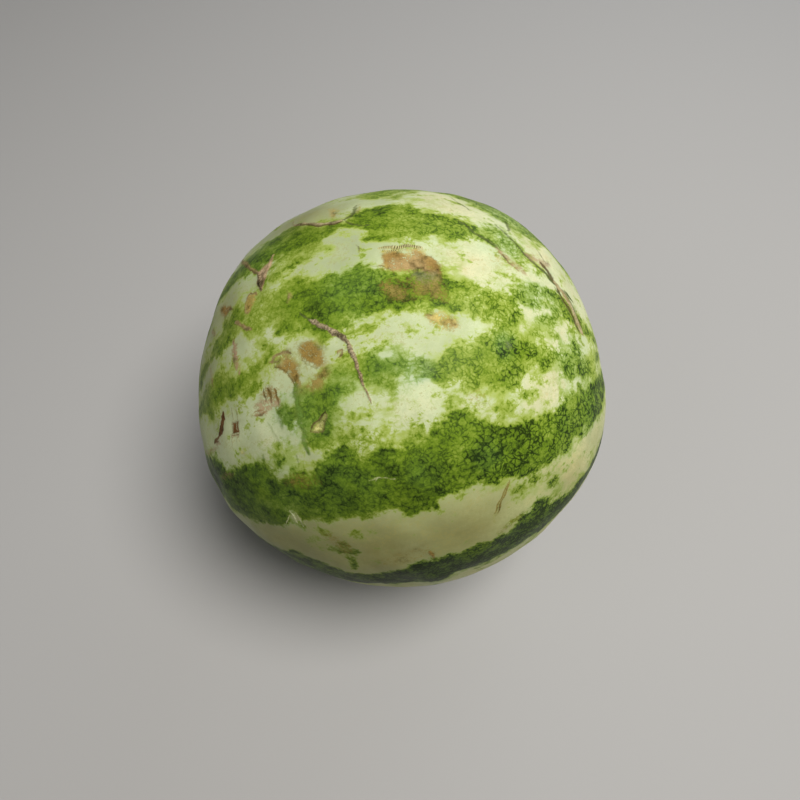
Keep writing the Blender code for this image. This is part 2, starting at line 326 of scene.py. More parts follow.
# Lines: kind, half width in millimetres, how solid it is, and its points.
LINES = (
    # the bent scar on the near side
    ("cork", 1.05, 1.0, [(75.3, -8.3), (77.5, -10.5), (80, -12.5), (82, -14.2), (83.5, -16.2)]),
    ("cork", 0.9, 1.0, [(83.2, -15.6), (84.1, -18.5), (84.7, -21.5)]),
    ("brown_cork", 0.64, 0.9, [(84.5, -20.5), (85, -23.5), (85.4, -26)]),
    ("brown_cork", 0.44, 0.75, [(85.2, -24.6), (85.7, -27.2), (86.2, -30.2)]),
    ("crack", 0.5, 0.7, [(73, -6), (74.2, -7.2), (75.4, -8.4)]),
    # the blossom end's forked scar, its long line, and the loop below it
    ("brown_cork", 0.8, 0.7, [(62.9, 5.5), (62.5, 8), (62.2, 11), (61.6, 14)]),
    ("red_streak", 0.4, 0.5, [(64.6, 13.6), (64, 11), (63.6, 8.6), (62.9, 6)]),
    ("pink_cork", 1.3, 0.7, [(63, 8.5), (63.8, 11.2), (65, 14.2), (66.3, 17)]),
    ("dark_edge", 0.4, 0.9, [(61.4, 13.6), (61.6, 10.5), (62.2, 7.8)]),
    ("dark_edge", 0.3, 0.5, [(62.8, 7), (63.3, 9.6), (63, 12.4)]),
    ("scratch", 1.0, 0.75, [(61.4, 13.8), (59.6, 16.8), (58, 20), (56.6, 24), (55, 27.5), (53.2, 34)]),
    ("dark_edge", 0.35, 0.6, [(61, 13.8), (59.2, 16.8), (57.6, 20.2), (56.2, 24)]),
    ("scratch", 0.6, 0.8, [(59.1, 7.6), (60.6, 6.6), (61.1, 5)]),
    ("scratch", 0.45, 0.6, [(59.1, 7.6), (57.6, 5.2), (57.1, 2.6), (58, 0.9), (59.6, 2)]),
    ("scratch", 1.1, 0.8, [(53.5, 1), (55, -0.6), (56.6, -2.4), (59, -4.8)]),
    ("pink_streak", 2.2, 0.8, [(52.4, -5.2), (52.5, -7), (52.7, -9.5)]),
    ("pink_streak", 1.5, 0.7, [(52.6, -9), (52.9, -12), (53.3, -16)]),
    ("scratch", 0.5, 0.5, [(51.2, -6.5), (51.6, -9.5), (52.2, -13)]),
    ("pink_streak", 1.8, 0.5, [(39.6, -6), (40.6, -9.5), (41.3, -15)]),
    ("pink_cork", 1.5, 0.5, [(70, 1.5), (70.7, 0), (70, -1.7)]),
    ("pink_streak", 1.6, 0.6, [(41, 9), (42, 7), (43.4, 4.6)]),
    ("scratch", 0.5, 0.7, [(48.6, 10.6), (50, 8.8), (52.4, 6.8)]),
    # the curved scar on the near edge of the top
    ("grey_cork", 1.0, 1.0, [(71.8, 28), (74.4, 25.5), (77, 23.8), (79.8, 22), (82, 21), (85, 20.7)]),
    ("dark_edge", 0.5, 0.8, [(73.6, 25.6), (76.5, 23.4), (79.5, 21.4), (82, 20.3), (85, 19.9)]),
    ("scratch", 0.4, 0.6, [(71.8, 28), (71.2, 30), (71, 33)]),
    ("crack", 1.0, 0.7, [(85, 20.8), (87, 22), (88, 24), (88.4, 27.5)]),
    ("crack", 0.6, 0.7, [(85.5, 20.4), (87, 18.5), (89, 16.8), (92, 16.2)]),
    ("pink_streak", 1.0, 0.45, [(89, 23), (89.4, 26), (89.2, 29)]),
    # the long lines near the stem end
    ("crack", 0.85, 0.68, [(113.8, 18), (116, 14.8), (118.2, 12.2), (120.5, 10.2), (123, 8.3)]),
    ("crack", 0.6, 0.6, [(119, 12.4), (121.5, 10.8), (123.6, 9)]),
    ("pink_streak", 1.9, 0.6, [(122.5, 8), (124.8, 5.2), (127, 3), (129, 0.6)]),
    ("scratch", 0.4, 0.6, [(122.6, 7), (124.6, 4), (127, 1.6)]),
    ("crack", 0.95, 0.68, [(123.8, 20.4), (126, 17.2), (128.5, 13.8), (130.6, 11)]),
    ("crack", 1.0, 0.75, [(130.2, 11.2), (132.5, 8), (135, 5.6), (138, 3.4), (140.5, 2)]),
    ("pink_streak", 2.4, 0.6, [(131.5, 11), (134, 9.8), (136.6, 10.2), (139.4, 12.2)]),
    ("dark_edge", 1.7, 0.75, [(135.5, 9.4), (137.2, 7.4), (138.6, 5.4), (140, 3)]),
    ("crack", 1.9, 0.5, [(139.6, 0.6), (141, -3), (142.8, -7.5), (144.6, -12.5), (147, -18)]),
    ("dark_edge", 0.6, 0.75, [(140.2, 2), (141.4, -2), (143, -6.5), (144.5, -11), (146, -16)]),
    ("dark_edge", 0.8, 0.6, [(142.6, 1.6), (144.4, -1.4), (145.8, -5), (147, -9.5), (148.9, -14.5)]),
    ("crack", 1.6, 0.4, [(144.6, 0.6), (146.4, -3), (148, -8)]),
    ("grey_cork", 1.15, 0.9, [
        (139.8, 3.6), (142, 0.6), (143.6, -3), (145, -7.5), (146.4, -13), (148.6, -18.5),
    ]),
    ("scratch", 0.35, 0.6, [(141.4, 1.6), (143.6, -2.6), (145.2, -7.2), (146.8, -12.6)]),
    ("crack", 0.7, 0.8, [(143.6, 1.8), (145.6, 0.4), (147, -2)]),
    ("crack", 0.7, 0.6, [(139.8, -1), (141.6, -1.8)]),
    ("crack", 0.5, 0.6, [(113, 35.5), (114.5, 32), (116, 29), (117.4, 25.4)]),
    ("crack", 1.1, 0.65, [(127.8, 28), (127.9, 24), (127.4, 20)]),
    ("crack", 0.5, 0.5, [(135.2, 16.8), (136.4, 14.6), (137.6, 12.4)]),
    # the red streaks
    ("red_streak", 1.55, 0.95, [(44.6, -25.8), (44, -28.5), (42.9, -31.6), (41.2, -34)]),
    ("red_streak", 1.2, 0.75, [(41.6, -33.4), (40.4, -35), (38, -36.6)]),
    ("feather", 0.3, 0.8, [(43.4, -34.2), (41.6, -34.6), (40, -35.4)]),
    ("pink_streak", 0.8, 0.6, [(42.4, -36.2), (40.6, -36.6), (39, -37.4)]),
    ("scratch", 0.35, 0.55, [(48.9, -25), (48.5, -29)]),
    ("scratch", 0.35, 0.55, [(50.8, -25), (50.4, -29)]),
    ("scratch", 0.35, 0.55, [(47.8, -34), (47.2, -37)]),
    ("scratch", 0.35, 0.45, [(49.6, -34), (48.9, -36.6)]),
    ("feather", 0.22, 0.8, [(47.6, -33.3), (49.9, -33.1)]),
    ("feather", 0.22, 0.7, [(47.5, -34.1), (49.6, -33.9)]),
    ("feather", 0.25, 0.5, [(49.9, -29.8), (49.4, -32)]),
    # the leaf-shaped scar
    ("dark_edge", 0.36, 0.75, [(71.2, -34.4), (72.5, -33), (74.4, -31.6), (76.3, -30.4)]),
    ("dark_edge", 0.25, 0.55, [(71.2, -34.5), (72.8, -34.9), (74.4, -34.6), (75.2, -32.8), (76.3, -30.8)]),
    # the double scratch, the stitched scar and the small scores
    ("olive_haze", 0.9, 0.5, [(113.6, -56), (112, -59.8), (109.4, -65), (108.8, -68)]),
    ("ochre_score", 0.3, 0.8, [(114, -56), (112.4, -59.6), (109.7, -65)]),
    ("ochre_score", 0.24, 0.7, [(113.2, -56.6), (111.5, -60), (109, -64.8)]),
    ("orange_stain", 0.8, 0.75, [(92.6, -71), (92.9, -74)]),
    ("pink_streak", 1.4, 0.5, [(28, -44), (34, -41), (40, -38)]),
    ("pink_streak", 1.3, 0.4, [(38.5, -50.5), (41, -49), (44.5, -47.5)]),
    ("stitch", 0.72, 0.95, [(93.2, 6.9), (95.5, 6.8), (98, 6.2), (100.2, 6.5), (103, 5.6)]),
    ("stitch", 0.35, 0.7, [(94, 6), (96.2, 5.6), (97.6, 5.4)]),
    ("dark_edge", 0.22, 0.4, [(85.6, 3.4), (88, 2.6), (91, 2.0), (94, 0.8)]),
    ("scratch", 0.45, 0.7, [(64, -16), (65.4, -14.8), (67.4, -14.2), (69.6, -15.4)]),
    ("scratch", 0.4, 0.6, [(63, -15.8), (66, -16)]),
    ("dark_edge", 0.3, 0.45, [(64.6, -17.4), (67.2, -18.8), (68.3, -20.6), (69, -23)]),
    ("dark_edge", 0.3, 0.35, [(71.6, -17.4), (73.4, -19.2), (75.6, -20.2)]),
    ("scratch", 0.4, 0.7, [(80.6, -18.6), (80.8, -17.6), (82, -17.4), (82, -18.4), (81, -19)]),
    ("dark_edge", 0.35, 0.6, [(60.6, -22.3), (60.9, -24.2), (60.6, -25.6)]),
    ("dark_edge", 0.35, 0.6, [(62, -22.2), (62.4, -24.4), (62.2, -26)]),
    ("dark_edge", 0.35, 0.6, [(63.4, -22.8), (64, -25), (64.2, -27)]),
    ("scratch", 0.35, 0.7, [(55.8, -28.4), (58, -28.6), (60.6, -28.2)]),
    ("scratch", 0.3, 0.6, [(56.8, -27.4), (59.4, -27.6)]),
    ("scratch", 0.3, 0.5, [(88.4, 9.6), (88.6, 6.4)]),
    ("feather", 0.35, 0.6, [(82.5, -47.3), (85.5, -47), (88.5, -47.8)]),
    ("feather", 0.25, 0.5, [(83.5, -48.2), (84.6, -47)]),
    # green that runs down from the forked stripe, and pale feathers on the broad one
    ("green_drip", 2.0, 0.75, [(69.4, -23), (69.3, -28), (69.5, -31.5)]),
    ("green_drip", 1.3, 0.72, [(69.5, -30.5), (69.6, -34.5), (69.7, -40)]),
    ("green_drip", 1.6, 0.6, [(63.6, -28.6), (63.9, -30.4), (64.2, -32.6)]),
    ("green_drip", 0.7, 0.45, [(60.4, -31), (61.4, -33.6), (62.9, -37)]),
    ("green_drip", 0.8, 0.6, [(57.1, -39.4), (56.8, -41.5)]),
    ("green_drip", 0.9, 0.5, [(62.8, -38.6), (63.3, -40.4)]),
    ("green_drip", 0.6, 0.5, [(66.6, -40), (66.8, -42)]),
    ("feather", 0.45, 0.8, [(61, -56.2), (61.6, -58.2), (62.1, -60.6)]),
    ("feather", 0.4, 0.75, [(62.4, -57), (63, -59), (63.4, -61.2)]),
    ("feather", 0.35, 0.7, [(60.4, -57.6), (59.6, -59.6), (58.8, -61.2)]),
    ("feather", 0.35, 0.6, [(64, -58.8), (64.4, -61.4)]),
    # out of the photo's sight
    ("scratch", 0.6, 0.8, [(70, 92), (76, 90), (83, 93), (88, 99)]),
    ("cork", 0.9, 0.9, [(118, 84), (121, 88), (125, 90), (131, 89)]),
    ("grey_cork", 0.7, 0.8, [(96, 128), (99, 124), (104, 122)]),
    ("crack", 0.6, 0.7, [(104, 122), (108, 119), (113, 118)]),
    ("pink_cork", 0.9, 0.7, [(58, -118), (63, -121), (69, -120)]),
    ("scratch", 0.5, 0.7, [(112, -116), (118, -119), (122, -125)]),
    ("scratch", 0.5, 0.7, [(40, 74), (44, 80), (50, 83)]),
)
# Patches: kind, how solid it is, and its outline.
PATCHES = (
    # the forked scar's body
    ("pink_cork", 0.85, [
        (61, 13.8), (62.6, 14.8), (64.8, 15), (66, 13.8), (64.8, 11.6), (64, 9), (63.6, 6.4), (62.8, 5.4),
        (61.9, 7.2), (61.2, 10),
    ]),
    # the brown patch and what runs below it into the green
    ("ochre_stain", 0.5, [(93.2, 6.4), (98, 6), (103.4, 5.4), (105.6, 2), (104, 0), (96, 1.5), (93.4, 3.5)]),
    ("brown_stain", 0.92, [
        (94.1, 4), (95, 4.8), (97.3, 4.7), (98.9, 3.6), (100.2, 3.2), (101.6, 5.2), (102.6, 4), (104.4, 3),
        (105.6, 1.5), (106.4, -0.2), (106.4, -2.3), (104.8, -2), (101.8, -1), (98.5, -0.9), (96, -0.9),
        (94.4, 0.8),
    ]),
    ("orange_stain", 0.8, [
        (102.4, 4.2), (105.6, 1.8), (106.8, -0.2), (106.6, -2.8), (104.2, -2.8), (103.4, 0.4),
    ]),
    ("orange_stain", 0.8, [
        (93.8, 4.4), (96.4, 5.2), (99.4, 4), (98, 2.6), (95.4, 2.4), (95.2, -0.6), (94, 0.6),
    ]),
    ("ochre_stain", 0.6, [(92.8, 1.5), (94.6, 1.2), (94.4, -0.4), (93, 0)]),
    ("smudge", 0.55, [(99.5, -1.2), (105.4, -1.8), (106, -4.4), (102.6, -5), (99.6, -3.6)]),
    ("olive_stain", 0.36, [
        (92, -2.6), (99, -2), (106.6, -2.4), (108, -7), (106, -9), (100, -9.4), (94, -8.6), (91.6, -5.6),
    ]),
    ("olive_stain", 0.6, [
        (99.6, -4), (103, -4.6), (106.2, -3), (106, -7), (108, -8.6), (107.6, -10.4), (105, -9.6),
        (103.4, -7.4), (100.6, -7.6),
    ]),
    ("olive_stain", 0.6, [(92.4, -3.2), (95, -3.6), (97.4, -6), (97.6, -8.4), (95, -7.6), (93, -6)]),
    # the orange spots and the pink one
    ("olive_haze", 0.34, [
        (64.6, -14.4), (68, -13.4), (72.6, -12.4), (77, -12.8), (79.2, -16), (79.6, -22), (76, -26),
        (71, -26.6), (69.6, -24), (68, -20), (65, -18.6),
    ]),
    ("orange_stain", 0.76, [
        (71.4, -14.2), (73, -13.2), (75.4, -13.4), (76.6, -15.4), (77.6, -17), (77.8, -19.6), (75.8, -20),
        (74, -18.6), (72, -17.4),
    ]),
    ("orange_stain", 0.76, [
        (64.4, -16.6), (66.6, -17.2), (68, -16), (69.4, -16.6), (70.8, -18.6), (71.4, -21), (70.6, -23.2),
        (68.8, -22.4), (68.2, -19.6), (66, -18.6),
    ]),
    ("brown_stain", 0.45, [(65.8, -14.6), (69, -14.2), (69.4, -16.4), (66.4, -17)]),
    ("orange_stain", 0.6, [
        (71.8, -24), (74, -22.4), (77.4, -20.4), (78.2, -22.4), (76.4, -24.4), (73.6, -25.6),
    ]),
    ("orange_stain", 0.4, [(69.4, -23), (70.8, -23), (70.6, -25), (69.6, -25)]),
    ("brown_stain", 0.35, [(80.5, -17.4), (82.2, -17.2), (82.2, -19), (80.8, -19.2)]),
    ("pink_streak", 0.62, [
        (56.6, -25.6), (59, -24.4), (62, -24.6), (65, -25.8), (64.8, -27.6), (62.2, -27.8), (60.4, -29.2),
        (57.2, -28.6),
    ]),
    ("orange_stain", 0.62, [
        (59.6, -23.4), (61.6, -21.6), (63.6, -22), (65.2, -24.4), (65, -26.6), (63.4, -25.6), (61.4, -24.6),
    ]),
    ("orange_stain", 0.25, [(51.4, -24.6), (53, -24.8), (53, -26.4), (51.6, -26.2)]),
    ("red_streak", 1.0, [
        (50.9, -29.4), (48.3, -29.5), (47.9, -31.5), (47.2, -34.2), (49.6, -34), (50.4, -32),
    ]),
    # at the blossom end
    ("orange_stain", 0.8, [
        (45.6, 15), (47.6, 13.6), (50, 11), (51.4, 9), (52.6, 6.8), (50.6, 7), (48.4, 7.2), (47, 9.6),
        (46.2, 12),
    ]),
    ("ochre_stain", 0.95, [
        (58.8, 7.2), (60.8, 6.2), (60.6, 4), (59.2, 2.4), (58.4, 0.8), (57.2, 1.6), (57.4, 4.2),
    ]),
    ("orange_stain", 0.6, [(58.6, 7.2), (60.2, 6), (59.6, 3.4), (58.2, 1), (57.4, 2.4), (57.8, 5)]),
    ("pale_rim", 0.8, [(49.3, -38.4), (50.5, -38.2), (50.9, -39.6), (49.7, -39.9)]),
    ("brown_stain", 0.45, [(50.6, -39.4), (51.4, -39.2), (51.2, -41), (49.8, -40.6)]),
    ("pale_rim", 0.95, [
        (71.6, -34.6), (72.8, -33.3), (74.8, -31.8), (76, -31), (75, -33), (74.2, -34.4), (73, -34.9),
    ]),
    # brush marks on the top, and the spot beside the net
    ("ochre_stain", 0.6, [(81.4, 31), (83.6, 30), (84.2, 27), (83.6, 23.4), (82.4, 23), (81.6, 26)]),
    ("brown_stain", 0.45, [(81.8, 29.4), (83.2, 28.6), (83.2, 24.6), (82.4, 24.4)]),
    ("ochre_stain", 0.8, [
        (101.8, -12.8), (104.6, -12.2), (107, -13.4), (108.8, -15.8), (107.6, -16.9), (105, -16.8),
        (102.6, -15.2),
    ]),
    ("orange_stain", 0.42, [(105, -13.8), (106.8, -14), (107.6, -15.8), (105.4, -15.8)]),
    ("brown_stain", 0.6, [(106.6, -15.4), (108, -16), (107.6, -17), (106.4, -16.6)]),
    ("brown_stain", 0.6, [(101, -12.4), (102.8, -12.6), (103, -14.6), (101.6, -14.4)]),
    ("ochre_stain", 0.35, [(119, 5), (122, 6), (124.5, 2.4), (120, 2.6)]),
    ("smudge", 0.75, [(118, -20.4), (120, -20.4), (120.3, -23), (118.4, -23.4)]),
    ("smudge", 0.35, [(98.4, -23), (101.6, -23), (101.4, -26), (97.4, -27.4)]),
    ("brown_stain", 0.3, [(106.8, -31.4), (111.4, -32), (111.6, -35.6), (108, -35.4)]),
    # olive stains low on the near side
    ("olive_stain", 0.45, [(62, -44.8), (71, -44.4), (71.6, -47.4), (66, -48.8), (61.6, -47.6)]),
    ("olive_stain", 0.5, [(67, -62), (70.6, -61.4), (74.6, -66), (74.4, -70), (71.6, -70.4), (69.4, -65.4)]),
    ("olive_stain", 0.35, [(79, -72), (86, -69.4), (92, -67.4), (94, -72), (88, -74.6), (80, -75.6)]),
    ("olive_stain", 0.35, [(108, -72), (112, -69), (118, -68.4), (116, -71.4), (110, -74)]),
    # out of the photo's sight
    ("orange_stain", 0.5, [(100, 70), (104, 73), (103, 78), (99, 76)]),
    ("brown_stain", 0.5, [(66, 112), (71, 115), (70, 121), (65, 118)]),
)
# Rings of cork at the two ends: end, kind, inner and outer reach in millimetres, and how solid.
END_RINGS = (
    ("stem", "pink_cork", 0, 7.2, 0.45),
    ("stem", "cork", 0, 5.4, 0.95),
    ("stem", "brown_cork", 0, 3.4, 0.85),
    ("stem", "dark_edge", 0, 1.5, 0.7),
    ("blossom", "pink_cork", 0, 8.0, 0.5),
    ("blossom", "cork", 0, 6.3, 0.95),
    ("blossom", "dark_edge", 5.3, 6.1, 0.5),
    ("blossom", "brown_cork", 1.7, 2.7, 0.6),
    ("blossom", "dark_edge", 0, 1.3, 0.8),
)
END_FURROWS = 11
FURROW_TWIST = 1.3  # radians round the end for each millimetre outwards
FURROW_START = 3  # millimetres from the end's middle where the furrows are at their full height
END_RELIEF = 0.00010  # metres
RING_FADES = (0.5, 0.8)  # millimetres either side of a ring's inner and outer edge

MM_PER_DEGREE = 1.81
JITTER = 0.15  # degrees
JITTER_WAVES = 36
JITTER_LENGTHS = (2.0, 9.0)  # millimetres
JITTER_SEEDS = (21, 22)
LEAST_GIRTH = 0.05  # of the largest, so that the jitter around stays small at the ends
PATCH_FADE = 1.7  # millimetres either side of a patch's outline
PATCH_RISE = (-0.4, 1.2)  # millimetres inside the outline where its height starts and is full
CURVE_STEPS = 4  # from one point of a line to the next
LINE_TAPER = (-0.5, 3.0)  # millimetres from a line's end where it starts and stops widening
LINE_TIP = 0.45  # of its width, at its end
LINE_SWELL = 0.22  # of its width, by which a line widens and narrows
LINE_BLUR = 0.2  # millimetres that are added to a line's soft edge
LINE_FOOT = (1.15, 0.1)  # where its relief ends, in widths and in millimetres beyond them
CORK_BEAD = 1.15  # millimetres from one bead of cork to the next
BEAD_HEIGHT = 0.26  # of the cork's height
# The beads' furrows carry painted shade and their tops painted highlight.
PLAIN_BEAD = 0.73  # how light a mark without beads is, on the scale from the beads' furrows to their tops


def arc_offsets(along, around, place):
    """Offsets from a place, in degrees of arc along and around the fruit."""
    return along - place[0], half_turn(around - place[1]) * np.sin(np.radians(along))


def segment_distances(along, around, start, end):
    """Distance in degrees of arc from a segment, and how far along it the nearest point is, 0 to 1."""
    u, v = arc_offsets(along, around, start)
    du = start[0] - end[0]
    dv = -half_turn(end[1] - start[1]) * np.sin(np.radians(along))
    share = np.clip(-(u * du + v * dv) / np.maximum(du * du + dv * dv, 1e-12), 0, 1)
    return np.hypot(u + share * du, v + share * dv), share


def outline_depth(along, around, outline):
    """Degrees of arc inside an outline, negative outside it."""
    corners = np.array(outline, float)
    middle = corners[:, 1].mean()
    turned = half_turn(around - middle) + middle
    nearest = np.full(along.shape, np.inf)
    inside = np.zeros(along.shape, bool)
    for start, end in zip(corners, np.roll(corners, -1, 0)):
        nearest = np.minimum(nearest, segment_distances(along, around, start, end)[0])
        if start[1] != end[1]:
            crosses = (start[1] > turned) != (end[1] > turned)
            share = (turned - start[1]) / (end[1] - start[1])
            inside ^= crosses & (along < start[0] + (end[0] - start[0]) * share)
    return np.where(inside, nearest, -nearest)


def wander(position, seed, waves):
    """A seeded sum of waves, for an edge that wanders as it goes."""
    phases = np.random.default_rng(seed).uniform(0, 2 * np.pi, len(waves))
    total = 0
    for (period, height), phase in zip(waves, phases):
        total = total + height * np.sin(2 * np.pi * position / period + phase)
    return total


def unseen_stripe_depth(along, around, number, centre, half_width):
    turn = half_turn(around - (centre + wander(along, CENTRE_SEED + number, CENTRE_WAVES)))
    widths = [half_width + wander(along, seed + number, EDGE_WAVES) for seed in EDGE_SEEDS]
    return (np.where(turn > 0, *widths) - np.abs(turn)) * np.sin(np.radians(along))


def placed(towards, start, places, edge=4):
    """A field that takes each place's own value near it. The places' edges are softest at 2."""
    field = start
    for along, around, reach, value in places:
        weight = np.exp(-((apart_from(towards, along, around) / reach) ** edge))
        field = field + (value - field) * weight
    return field


def green_areas(along, around):
    """Each stripe and fleck in turn: degrees of arc inside it, negative outside, and its shade."""
    for shade, outline in STRIPES.values():
        yield outline_depth(along, around, outline), shade
    for number, (centre, half_width, shade) in enumerate(UNSEEN_STRIPES):
        yield unseen_stripe_depth(along, around, number, centre, half_width), shade
    for *place, half_length, half_width in FLECKS:
        u, v = arc_offsets(along, around, place)
        yield (1 - np.hypot(u / half_length, v / half_width)) * min(half_length, half_width), FLECK_SHADE


def stripe_fields(towards):
    """Depth into the green and the green's shade."""
    along, around = angles(towards)
    depth = np.full(along.shape, -180.0)
    shade = np.zeros(along.shape)
    for own_depth, own_shade in green_areas(along, around):
        shade = np.where(own_depth > depth, own_shade, shade)
        depth = np.maximum(depth, own_depth)
    depth = np.clip(depth, -DEPTH_LIMIT, DEPTH_LIMIT)
    return {"stripe": depth, "shade": placed(towards, shade, SHADE_PLACES)}


def ground_field(towards):
    """1 in the yellow spot underneath, 0 away from it."""
    _, around = angles(towards)
    apart = apart_from(towards, *GROUND_SPOT) + wander(around, GROUND_SEED, GROUND_WAVES)
    return 1 - smooth_step(apart, GROUND_REACH - GROUND_FADE, GROUND_REACH + GROUND_FADE)


def smooth_line(points):
    """The points of a line with others between each two, on a curve through them."""
    points = np.array(points, float)
    if len(points) < 3:
        return points
    ends = np.vstack([2 * points[0] - points[1], points, 2 * points[-1] - points[-2]])
    curve = []
    for p0, p1, p2, p3 in zip(ends, ends[1:], ends[2:], ends[3:]):
        for t in np.linspace(0, 1, CURVE_STEPS, endpoint=False):
            bend = (2 * p0 - 5 * p1 + 4 * p2 - p3) * t**2 + (3 * p1 - p0 - 3 * p2 + p3) * t**3
            curve.append(p1 + ((p2 - p0) * t + bend) / 2)
    return np.array(curve + [points[-1]])


def line_distance(along, around, points):
    """Millimetres from a smoothed line, run along it to the nearest point, and in its whole length."""
    curve = smooth_line(points)
    nearest = np.full(along.shape, np.inf)
    run = np.zeros(along.shape)
    before = 0.0
    for start, end in zip(curve, curve[1:]):
        distance, share = segment_distances(along, around, start, end)
        length = np.hypot(*arc_offsets(start[0], start[1], end)) * MM_PER_DEGREE
        run = np.where(distance < nearest, before + share * length, run)
        nearest = np.minimum(distance, nearest)
        before += length
    return nearest * MM_PER_DEGREE, run, before


def seeded_waves(seed, count, sizes):
    """For each of some waves, its direction, its own size from a range, and its phase."""
    draw = np.random.default_rng(seed)
    for _ in range(count):
        direction = draw.normal(size=3)
        yield direction / np.linalg.norm(direction), draw.uniform(*sizes), draw.uniform(0, 2 * np.pi)


def jitter(towards, seed):
    """Waves a few millimetres long, in degrees, that roughen the marks' edges."""
    total = 0
    for direction, length, phase in seeded_waves(seed, JITTER_WAVES, JITTER_LENGTHS):
        total = total + length * np.sin(towards @ direction * (360 * MM_PER_DEGREE / length) + phase)
    return JITTER * total / math.sqrt(JITTER_WAVES / 2) / np.mean(JITTER_LENGTHS)


def ring_presence(reach, inner, outer):
    """1 between two distances in millimetres from an end's middle, and 0 beyond them."""
    inner_fade, outer_fade = RING_FADES
    rising = smooth_step(reach, inner - inner_fade, inner + inner_fade) if inner else 1
    return rising * (1 - smooth_step(reach, outer - outer_fade, outer + outer_fade))


class Marks:
    """Rings, patches and lines laid over one another, as values at each unit vector."""

    def __init__(self, towards):
        along, around = angles(towards)
        girth = np.maximum(np.sin(np.radians(along)), LEAST_GIRTH)
        self.along = along + jitter(towards, JITTER_SEEDS[0])
        self.around = around + jitter(towards, JITTER_SEEDS[1]) / girth
        self.colour = np.tile(np.array(MARK_KINDS["orange_stain"].colour), (len(along), 1))
        self.amount, self.cork, self.grain, self.run, self.height = np.zeros((5, len(along)))
        self.bead = np.full(len(along), PLAIN_BEAD)
        for ring in END_RINGS:
            self.lay_ring(*ring)
        for patch in PATCHES:
            self.lay_patch(*patch)
        for line in LINES:
            self.lay_line(*line)

    def lay(self, kind, here, height):
        """Lays a mark over those before it, as solid as here says, and adds its own height."""
        covered = here + self.amount * (1 - here)
        part = here / np.maximum(covered, 1e-6)
        self.colour = self.colour + (np.array(kind.colour) - self.colour) * part[:, None]
        self.amount = covered
        self.grain = self.grain + (kind.grain - self.grain) * part
        self.cork = np.maximum(self.cork, here * kind.cork)
        self.height = self.height + height

    def lay_ring(self, end, name, inner, outer, solid):
        reach = MM_PER_DEGREE * (180 - self.along if end == "stem" else self.along)
        here = ring_presence(reach, inner, outer) * solid
        furrows = np.cos(np.radians(self.around) * END_FURROWS + reach * FURROW_TWIST)
        self.lay(MARK_KINDS[name], here, here * END_RELIEF * furrows * np.minimum(reach / FURROW_START, 1))

    def lay_patch(self, name, solid, outline):
        kind = MARK_KINDS[name]
        depth = outline_depth(self.along, self.around, outline) * MM_PER_DEGREE
        here = smooth_step(depth, -PATCH_FADE, PATCH_FADE) * solid
        self.lay(kind, here, kind.height * smooth_step(depth, *PATCH_RISE) * solid)

    def lay_line(self, name, half_width, solid, points):
        kind = MARK_KINDS[name]
        distance, run, length = line_distance(self.along, self.around, points)
        taper = LINE_TIP + (1 - LINE_TIP) * smooth_step(np.minimum(run, length - run), *LINE_TAPER)
        width = half_width * taper * (1 + LINE_SWELL * np.sin(run * 2.1) * np.cos(run * 0.83 + 1.0))
        here = 1 - smooth_step(distance, width * (1 - kind.soft), width * (1 + kind.soft) + LINE_BLUR)
        profile = 1 - smooth_step(distance, 0.0, width * LINE_FOOT[0] + LINE_FOOT[1])
        if kind.cork == 1.0:
            uneven = 2.2 * np.sin(run * 0.9) + 1.4 * np.sin(distance * 3.1 + run * 1.7)
            ripple = np.cos(2 * np.pi * run / CORK_BEAD + uneven)
            profile = profile * (1 - BEAD_HEIGHT + BEAD_HEIGHT * ripple)
            # where on a bead each place is, for the beads' painted shade and highlight
            self.bead = np.where(here > 0.3, 0.5 + 0.5 * ripple, self.bead)
        if name == "stitch":
            self.run = np.where(distance < 2 * width, run, self.run)
        self.lay(kind, here * solid, kind.height * profile)

    def fields(self):
        mark = np.column_stack([self.colour, self.amount])
        return {"mark": mark, "cork": self.cork, "grain": self.grain, "bead": self.bead, "run": self.run}


# ---------------------------------------------------------------- the skin's mesh
SKIN_LEVEL = 7  # subdivisions of the sphere before it is refined
REFINED_REACHES = (2.2, 1.0)  # millimetres beside a line within which the triangles are split, once and again
END_REACH = 9.0  # degrees round each end that are split too
SEARCH_MARGIN = 6  # degrees beyond a line's points, past which nothing can be near it
UNDULATION = 0.00022  # metres that the skin rises and falls between the shoulders
UNDULATION_WAVES = 14
UNDULATION_RATES = (14, 42)  # radians of a wave in one radius
UNDULATION_SEED = 7


def undulation(towards):
    """Gentle rises and hollows all over, in metres."""
    total = 0
    for direction, rate, phase in seeded_waves(UNDULATION_SEED, UNDULATION_WAVES, UNDULATION_RATES):
        total = total + np.sin(towards @ direction * rate + phase)
    return UNDULATION * total / math.sqrt(UNDULATION_WAVES / 2)


def near_marks(towards, reach):
    """Which unit vectors are at an end, or within a reach in millimetres of a line's edge."""
    along, around = angles(towards)
    near = np.minimum(along, 180 - along) < END_REACH
    for _, half_width, _, points in LINES:
        middle = np.mean(points, axis=0)
        spread = max(np.hypot(*arc_offsets(*middle, point)) for point in points) + SEARCH_MARGIN
        close = np.flatnonzero(apart_from(towards, *middle) < spread)
        near[close] |= line_distance(along[close], around[close], points)[0] < half_width + reach
    return near


